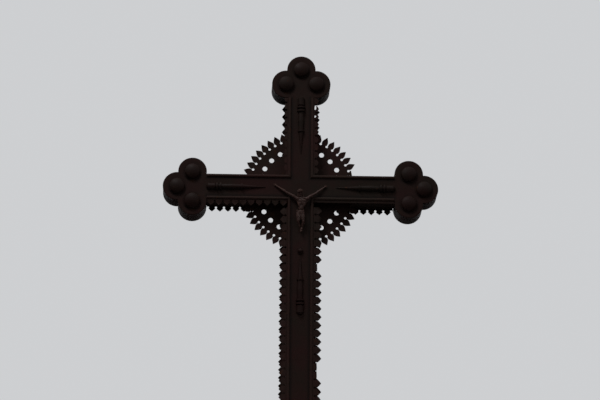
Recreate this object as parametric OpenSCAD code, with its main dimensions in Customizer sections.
// Wrought iron cross: a closed sheet-iron box with three-lobed ends, toothed edging strips,
// pierced fans of rays in its angles, turned ornaments and a small cast figure.
// Front faces -Y. The origin is the middle of the foot, where the shaft leaves its base.

/* [Cross] */
// Height of the crossing above the foot
crossing_h = 1150; // [900:10:1500]
// Distance from the crossing to the middle of each three-lobed end
arm_reach = 393; // [380:1:480]
// Width of the shaft and the arms across the front
box_w = 94; // [76:1:104]
// Depth of the box from its front face to its back face
box_d = 96; // [76:1:130]

/* [Three-lobed ends] */
// Radius of one lobe
lobe_r = 52; // [46:1:60]
// Distance from the middle of an end to the middle of each lobe
lobe_offset = 55; // [50:1:60]
// Radius of the domed boss on each lobe
boss_r = 31; // [22:1:36]
// Height of the domed boss above the front face
boss_h = 17; // [16:1:24]
// Radius of the boss's rounded shoulder
boss_shoulder_r = 9; // [4:1:9]
// How far the middle of the boss rises over its shoulder
boss_crown = 5; // [2:1:6]

/* [Raised mouldings] */
// Width of the half-round moulding along the front edges
moulding_w = 12; // [8:1:15]
// Height of the moulding above the front face
moulding_h = 5; // [3:0.5:6]

/* [Toothed edging] */
// Distance from one tooth to the next on the arms
arm_tooth_pitch = 29.2; // [24:0.2:34]
// Distance from one tooth to the next on the shaft
shaft_tooth_pitch = 29.8; // [24:0.2:34]
// Reach of the teeth beyond the side of the arms
arm_tooth_reach = 22.5; // [19:0.5:24]
// Reach of the front teeth of the top arm, which are shorter
top_tooth_reach = 16; // [15:0.5:19]
// Reach of the teeth beyond the side of the shaft
shaft_tooth_reach = 27.5; // [22:0.5:30]
// Distance between the teeth on the right side of the shaft, whose strips are from another batch
right_tooth_pitch = 30.4; // [24:0.2:34]
// How far those teeth stand out
right_tooth_reach = 30.5; // [24:0.5:33]
// Length of a tooth's pointed tip
tooth_point = 12.5; // [9:0.5:13]
// Radius of the small hole between two teeth
tooth_hole_r = 4; // [2.5:0.25:4.5]
// Distance from the wall to the middle of that hole
tooth_hole_in = 7; // [6:0.5:8]
// Width of the slit from the hole to the edge
tooth_slit = 3; // [1.5:0.25:4]
// Thickness of the edging strip
strip_t = 2; // [1.5:0.25:3]
// Depth of the flange that fixes the strip to the side wall
strip_flange = 14; // [8:1:20]

/* [Fans of rays] */
// Thickness of a fan
fan_t = 3; // [2:0.5:4]
// Number of rays in a fan
fan_rays = 8; // [6:2:8]
// Angle from one ray to the next
fan_step = 7.3; // [6.5:0.1:7.6]
// Radius at the tips of the rays
fan_tip_r = 224; // [214:1:235]
// Radius at the widest part of the rays
fan_shoulder_r = 205; // [198:1:208]
// Radius at the middle of the small holes between the rays
fan_hole_ring_r = 193; // [188:1:195]
// Radius of a small hole
fan_hole_r = 4.5; // [3:0.25:5.5]
// Radius at the middle of the large holes
fan_eye_ring_r = 156; // [140:1:165]
// Radius of a large hole
fan_eye_r = 9; // [6:0.5:11]

/* [Turned ornaments] */
// Length of a turned ornament
spindle_l = 214; // [180:1:224]
// Radius of its collar
spindle_r = 15; // [11:0.5:17]
// Distance from the crossing to the point of the ornaments on the arms
spindle_start = 128; // [122:1:136]
// Distance below the crossing to the ornament on the shaft
shaft_spindle_start = 258; // [256:1:340]
// Distance below the crossing to the stud
stud_drop = 238; // [225:1:242]
// Radius of the stud
stud_r = 12; // [8:0.5:13]

/* [Figure] */
// Distance between the hands
figure_span = 190; // [170:1:200]
// Height of the hands above the middle of the crossing
figure_hands_up = 5; // [-10:1:12]
// Distance from the hands down to the feet
figure_drop = 172; // [150:1:185]

/* [Hidden] */
$fn = 96;
half = box_w / 2;
face = box_d / 2;                                // the front face, forward of the middle plane
end_reach = arm_reach + lobe_offset;
edging_end = arm_reach - lobe_r - 1;             // edging stops just short of the side lobes
arm_edging_l = edging_end - half;
shaft_edging_top = half + arm_tooth_reach + 4;   // below the teeth of the arms
foot_gap = 60;                                   // plain length of the shaft above the foot
shaft_edging_l = crossing_h - shaft_edging_top - foot_gap;
broken_tooth = [14, 14.8];                        // lowest and highest edge of a broken tooth
rust_gap = 6;                                    // width of a gap rusted through at the root
uneven_reach = 2;                                // the strips of the top arm lean to the right
bare_strip = 8;                                  // what is left of a strip without its teeth
arm_strip_hang = 5.5;                            // how far the sprung strip hangs off its wall
boss_rim = 2.5;                                  // width and height of a boss's rim
loose_lean = 6;                                  // how far a loose boss leans out, in degrees
loose_sunk = 0.8;                                // how deep its held edge has bitten in
shoulder_sway = 6;                               // how far the figure's shoulders stand aside
hip_sway = -0.5;
foot_sway = 2.5;
figure_off = 12;                                 // the body's middle line, forward of the face
limb_fn = 20;

lobe_dirs = [[0, "out"], [90, "left"], [-90, "right"]];
loose_boss = "left_left";                        // the one under the left arm
ends = [["top", 0], ["left", 90], ["right", -90]];
// Name, side, and which way up, then how far the pattern was cut off its true centre, the
// width of the slits between the rays, and the numbers of the broken rays
quarters = [["top_left", -1, 1, [-5, 3], 1.5, []], ["top_right", 1, 1, [-2, 2.5], 4, [0]],
            ["foot_left", -1, -1, [-3, 1.5], 1.5, []], ["foot_right", 1, -1, [-2, 2.5], 1.5, []]];
// Name, side, which way up, and whether the bar runs along the shaft
bars = [["arm_left_upper", -1, 1, false], ["arm_left_lower", -1, -1, false],
        ["arm_right_upper", 1, 1, false], ["arm_right_lower", 1, -1, false],
        ["top_left", -1, 1, true], ["top_right", 1, 1, true],
        ["shaft_left", -1, -1, true], ["shaft_right", 1, -1, true]];

// Puts a thing drawn around the crossing in its place: x stays across, y becomes height, and
// z becomes the distance forward of the middle plane.
module at_crossing() {
    translate([0, 0, crossing_h]) rotate([90, 0, 0]) children();
}

// Closed box: shaft, side arms and top arm with their three-lobed ends.
module body() {
    color("#2b2220") at_crossing() linear_extrude(box_d, center = true) union() {
        translate([-half, -crossing_h]) square([box_w, crossing_h + end_reach]);
        translate([-end_reach, -half]) square([2 * end_reach, box_w]);
        for (e = ends) rotate(e[1]) translate([0, arm_reach])
            for (d = lobe_dirs) rotate(d[0]) translate([0, lobe_offset]) circle(lobe_r);
    }
}

// Half-round bar along +x with a mitre at its start.
module mitred_bar(length) {
    r = (pow(moulding_w / 2, 2) + pow(moulding_h, 2)) / (2 * moulding_h);
    intersection() {
        translate([0, moulding_w / 2, moulding_h - r]) rotate([0, 90, 0]) cylinder(r = r, h = length);
        linear_extrude(moulding_h)
            polygon([[0, 0], [length, 0], [length, moulding_w], [moulding_w, moulding_w]]);
    }
}

// One of the two mouldings that meet in a mitre at each inner corner of the cross.
module moulding(side, up, upright) {
    inner = half - moulding_w;
    outer_end = upright && up < 0 ? crossing_h : edging_end;
    color("#2e2523") at_crossing() scale([side, up, 1]) translate([inner, inner, face])
        if (upright) mirror([1, -1, 0]) mitred_bar(outer_end - inner);
        else mitred_bar(outer_end - inner);
}

// Leaf-shaped tooth that points along +y. A broken one ends in a ragged edge.
module tooth(pitch, reach, is_broken) {
    w = (pitch - tooth_slit) / 2;
    point = min(tooth_point, reach - tooth_hole_in - 3);
    shoulder = reach - point;
    if (is_broken)
        polygon([[-w, 0], [w, 0], [w, broken_tooth[0]], [w / 3, broken_tooth[1]],
                 [-w, broken_tooth[0]]]);
    else
        polygon([[-w, 0], [w, 0], [w, shoulder], [w * 0.55, shoulder + point / 2],
                 [0, reach], [-w * 0.55, shoulder + point / 2], [-w, shoulder]]);
}

// Outline of a toothed strip, from the wall outwards. A punched one has a round hole between
// every two teeth and a slit down to it. Only a tooth whose middle is on the strip is cut. The
// teeth numbered in broken are snapped off. Each gap, given as [distance from the far end,
// length], is rusted through.
module edging_outline(length, reach, pitch, first, broken, hang, gaps, punched) {
    count = floor((length - first) / pitch) + 1;
    difference() {
        intersection() {
            square([length, hang + reach]);
            union() {
                square([length, hang + (punched ? tooth_hole_in : broken_tooth[0])]);
                for (i = [0 : count - 1]) translate([first + i * pitch, hang])
                    tooth(pitch, reach, len(search(i, broken)) > 0);
            }
        }
        if (punched)
            for (i = [-1 : count - 1]) translate([first + (i + 0.5) * pitch, hang + tooth_hole_in])
                circle(tooth_hole_r, $fn = 32);
        for (g = gaps) translate([length - g[0], strip_t]) square([g[1], rust_gap]);
    }
}

// Toothed strip with the flange that fixes it to the side wall, at the front or the back arris.
module edging(at_front, length, reach, pitch, first, broken = [], hang = 0, gaps = [], punched = true) {
    color("#241d1b") translate([0, 0, at_front ? face - strip_t : -face]) union() {
        linear_extrude(strip_t)
            edging_outline(length, reach, pitch, first, broken, hang, gaps, punched);
        translate([0, 0, at_front ? strip_t - strip_flange : 0]) cube([length, strip_t, strip_flange]);
    }
}

// Strip on the side of the top arm. A share of a pitch tells where its first tooth is.
module fringe_top(at_front, side, reach, share, gaps = []) {
    at_crossing() scale([side, 1, 1]) translate([half, half, 0]) mirror([1, -1, 0])
        edging(at_front, arm_edging_l, reach, arm_tooth_pitch, share * arm_tooth_pitch, gaps = gaps);
}

// Strip under a side arm.
module fringe_arm(at_front, side, share, hang = 0) {
    at_crossing() scale([side, -1, 1]) translate([half, half, 0])
        edging(at_front, arm_edging_l, arm_tooth_reach, arm_tooth_pitch, share * arm_tooth_pitch,
               hang = hang);
}

// The front strip under the right arm has lost its teeth along the line of holes.
module fringe_bare() {
    color("#241d1b") at_crossing() scale([1, -1, 1]) translate([half, half, face - strip_flange]) union() {
        cube([arm_edging_l, strip_t, strip_flange]);
        translate([0, 0, strip_flange - strip_t]) cube([arm_edging_l, bare_strip, strip_t]);
    }
}

// Strip on the side of the shaft. Only the front ones are punched.
module fringe_shaft(at_front, side, share, pitch, reach, broken = []) {
    at_crossing() scale([side, -1, 1]) translate([half, shaft_edging_top, 0]) mirror([1, -1, 0])
        edging(at_front, shaft_edging_l, reach, pitch, share * pitch, broken = broken,
               punched = at_front);
}

// One leaf-shaped ray of a fan, pointing up from the middle of the crossing.
module ray(slit, is_broken) {
    wide = fan_shoulder_r * tan(fan_step / 2) - slit / 2;
    root = fan_hole_ring_r - fan_hole_r;
    rise = fan_tip_r - fan_shoulder_r;
    edge = [for (t = [0 : 0.2 : 1]) [wide * (1 - pow(t, 1.3)), fan_shoulder_r + rise * t]];
    if (is_broken)
        polygon([[-wide * 0.9, root], [wide * 0.9, root],
                 [wide, fan_shoulder_r - 6], [-wide, fan_shoulder_r - 3]]);
    else
        polygon(concat([[-wide * 0.9, root], [wide * 0.9, root]], edge,
                       [for (i = [len(edge) - 2 : -1 : 0]) [-edge[i][0], edge[i][1]]]));
}

// Pierced fan of rays that fills one angle of the cross. Its pattern sits a little off centre.
module fan(side, up, off, slit, broken) {
    color("#241d1b") at_crossing() scale([side, up, 1]) linear_extrude(fan_t, center = true)
        intersection() {
            translate([half, half]) square(fan_tip_r);
            translate(off) difference() {
                union() {
                    circle(fan_hole_ring_r);
                    for (k = [0 : fan_rays - 1]) rotate(-45 + (k - (fan_rays - 1) / 2) * fan_step)
                        ray(slit, len(search(k, broken)) > 0);
                }
                for (k = [-1 : fan_rays - 1]) rotate(-45 + (k + 1 - fan_rays / 2) * fan_step)
                    translate([0, fan_hole_ring_r]) circle(fan_hole_r, $fn = 32);
                for (k = [-1 : 1]) rotate(-45 + 2 * k * fan_step)
                    translate([0, fan_eye_ring_r]) circle(fan_eye_r, $fn = 48);
            }
        }
}

// Domed boss with a narrow rim, steep sides and a round shoulder. The crown's arc runs into
// the shoulder's without a break. A loose boss leans out from its lower edge, which still holds.
module boss(end_turn, lobe_turn, loose) {
    dome_r = boss_r - boss_rim;
    shoulder_in = dome_r - boss_shoulder_r;
    shoulder_up = boss_h - boss_crown - boss_shoulder_r;
    crown_r = (pow(shoulder_in, 2) + 2 * boss_shoulder_r * boss_crown + pow(boss_crown, 2))
        / (2 * boss_crown);
    crown_reach = shoulder_in * crown_r / (crown_r - boss_shoulder_r);
    color("#30272a") at_crossing() rotate(end_turn) translate([0, arm_reach, 0]) rotate(lobe_turn)
        translate([0, lobe_offset, face])
        translate([0, boss_r, 0]) rotate([loose ? -loose_lean : 0, 0, 0])
        translate([0, -boss_r, loose ? -loose_sunk : 0]) rotate_extrude() {
            square([boss_r, boss_rim]);
            square([dome_r, shoulder_up]);
            intersection() {
                translate([shoulder_in, shoulder_up]) circle(boss_shoulder_r, $fn = 120);
                square([dome_r, boss_h]);
            }
            intersection() {
                translate([0, boss_h - crown_r]) circle(crown_r, $fn = 180);
                square([crown_reach, boss_h]);
            }
        }
}

// Half-round turned ornament that lies along +y, with its point at the start.
module spindle() {
    neck = spindle_r * 0.6;
    ring_at = spindle_l * 0.4;
    collar_at = spindle_l * 0.76;
    ring_step = spindle_r * 0.85;
    bulb = spindle_l - collar_at - ring_step - spindle_r * 0.2;
    mirror([0, 0, 1]) rotate([-90, 0, 0]) rotate_extrude(angle = 180) {
        polygon([[0, 0], [1.5, 0], [neck, ring_at], [neck * 1.25, (ring_at + collar_at) / 2],
                 [neck, collar_at], [neck, spindle_l - 2], [neck - 2, spindle_l], [0, spindle_l]]);
        translate([0, ring_at - spindle_r * 0.2]) square([spindle_r * 0.8, spindle_r * 0.4]);
        for (at = [collar_at, collar_at + ring_step]) translate([0, at - spindle_r * 0.2])
            square([spindle_r, spindle_r * 0.4]);
        translate([0, spindle_l - bulb / 2]) intersection() {
            circle(bulb / 2, $fn = 64);
            translate([0, -bulb]) square([spindle_r * 0.85, 2 * bulb]);
        }
    }
}

module spindle_on(turn, from) {
    color("#2e2523") at_crossing() rotate(turn) translate([0, from, face]) spindle();
}

// Round stud on a low collar, under the figure's feet.
module stud() {
    color("#30272a") at_crossing() translate([0, -stud_drop, face]) rotate_extrude() {
        square([stud_r, 2.5]);
        intersection() {
            translate([0, 1]) circle(stud_r - 2.5, $fn = 64);
            translate([0, 1]) square(stud_r);
        }
    }
}

// Tapered limb between two balls, each given as [point, radius].
module limb(a, b) {
    hull() for (ball = [a, b]) translate(ball[0]) sphere(ball[1], $fn = limb_fn);
}

// The trunk between two levels, each given as [middle, height, half width, radius, forward].
module trunk(a, b) {
    hull() for (level = [a, b]) for (side = [-1, 1])
        translate([level[0] + side * level[2], level[1], level[4]]) sphere(level[3], $fn = limb_fn);
}

// Cast figure, with its weight on one side: the shoulders sway one way and the hips the other.
// Its heights are measured down from the line of the hands, with z forward of the face.
module figure() {
    s = figure_drop / 172;
    neck = [shoulder_sway * 0.6, -45 * s, figure_off + 1];
    chin = [-2, -39 * s, figure_off + 8];
    crown = [-1, -26 * s, figure_off + 8.5];
    color("#3a302b") at_crossing() translate([0, figure_hands_up, face]) intersection() {
        translate([-figure_span, -2 * figure_drop, 0]) cube([2 * figure_span, 3 * figure_drop, 60]);
        union() {
            for (side = [-1, 1]) {
                hand = [side * (figure_span / 2 - 3), 0, 3.5];
                shoulder = [shoulder_sway + side * 16, -50.5 * s, figure_off + 1];
                elbow = (hand + shoulder) / 2 + [0, -2, 1];
                hip = [hip_sway + side * 6, -104 * s, figure_off];
                knee = [hip_sway + side * 8.4, -135 * s, figure_off + 7];
                ankle = [foot_sway + side * 3, -159 * s, figure_off - 3];
                limb([shoulder, 6.6], [elbow, 4.8]);
                limb([elbow, 4.8], [hand, 3.2]);
                limb([hand, 3.4], [hand + [side * 3.5, 4, 0], 2.8]);
                limb([hip, 8], [knee, 5.5]);
                limb([knee, 5.3], [ankle, 3.6]);
            }
            trunk([shoulder_sway, -54 * s, 10, 8, figure_off + 1],
                  [shoulder_sway * 0.3, -82 * s, 5, 7.2, figure_off + 1]);
            trunk([shoulder_sway * 0.3, -82 * s, 5, 7.2, figure_off + 1],
                  [hip_sway, -98 * s, 7, 8.6, figure_off]);
            trunk([hip_sway, -98 * s, 7, 9, figure_off], [hip_sway, -124 * s, 5, 8.5, figure_off + 2]);
            limb([neck, 5], [crown, 9]);
            limb([chin, 6], [crown, 12]);
            limb([[foot_sway, -159 * s, figure_off - 3], 4.5],
                 [[foot_sway, (4.4 - 172) * s, figure_off], 4.4]);
        }
    }
}

body();
for (b = bars)
    moulding(b[1], b[2], b[3]);
fringe_top(true, -1, top_tooth_reach - uneven_reach, 0.95);  // fringe_front_top_left
fringe_top(true, 1, top_tooth_reach + uneven_reach, 0.64, [[74, 8], [44, 17]]);  // fringe_front_top_right
fringe_arm(true, -1, 0.53);  // fringe_front_arm_left
fringe_bare();  // fringe_front_arm_right
fringe_shaft(true, -1, 0.56, shaft_tooth_pitch, shaft_tooth_reach);  // fringe_front_shaft_left
fringe_shaft(true, 1, 0.4, right_tooth_pitch, right_tooth_reach, [7, 19, 20]);  // fringe_front_shaft_right
fringe_top(false, -1, arm_tooth_reach - uneven_reach, 0.48);  // fringe_back_top_left
fringe_top(false, 1, arm_tooth_reach + uneven_reach, 0.14, [[46, 8], [15, 12]]);  // fringe_back_top_right
fringe_arm(false, -1, 0.37);  // fringe_back_arm_left
fringe_arm(false, 1, 0.35, arm_strip_hang);  // fringe_back_arm_right
fringe_shaft(false, -1, 0.56, shaft_tooth_pitch, shaft_tooth_reach);  // fringe_back_shaft_left
fringe_shaft(false, 1, 0.64, right_tooth_pitch, right_tooth_reach, [6, 18, 19]);  // fringe_back_shaft_right
for (q = quarters)
    fan(q[1], q[2], q[3], q[4], q[5]);
for (e = ends) for (d = lobe_dirs)
    boss(e[1], d[0], str(e[0], "_", d[1]) == loose_boss);
for (e = ends)
    spindle_on(e[1], spindle_start);
spindle_on(180, shaft_spindle_start);  // spindle_shaft
stud();
figure();
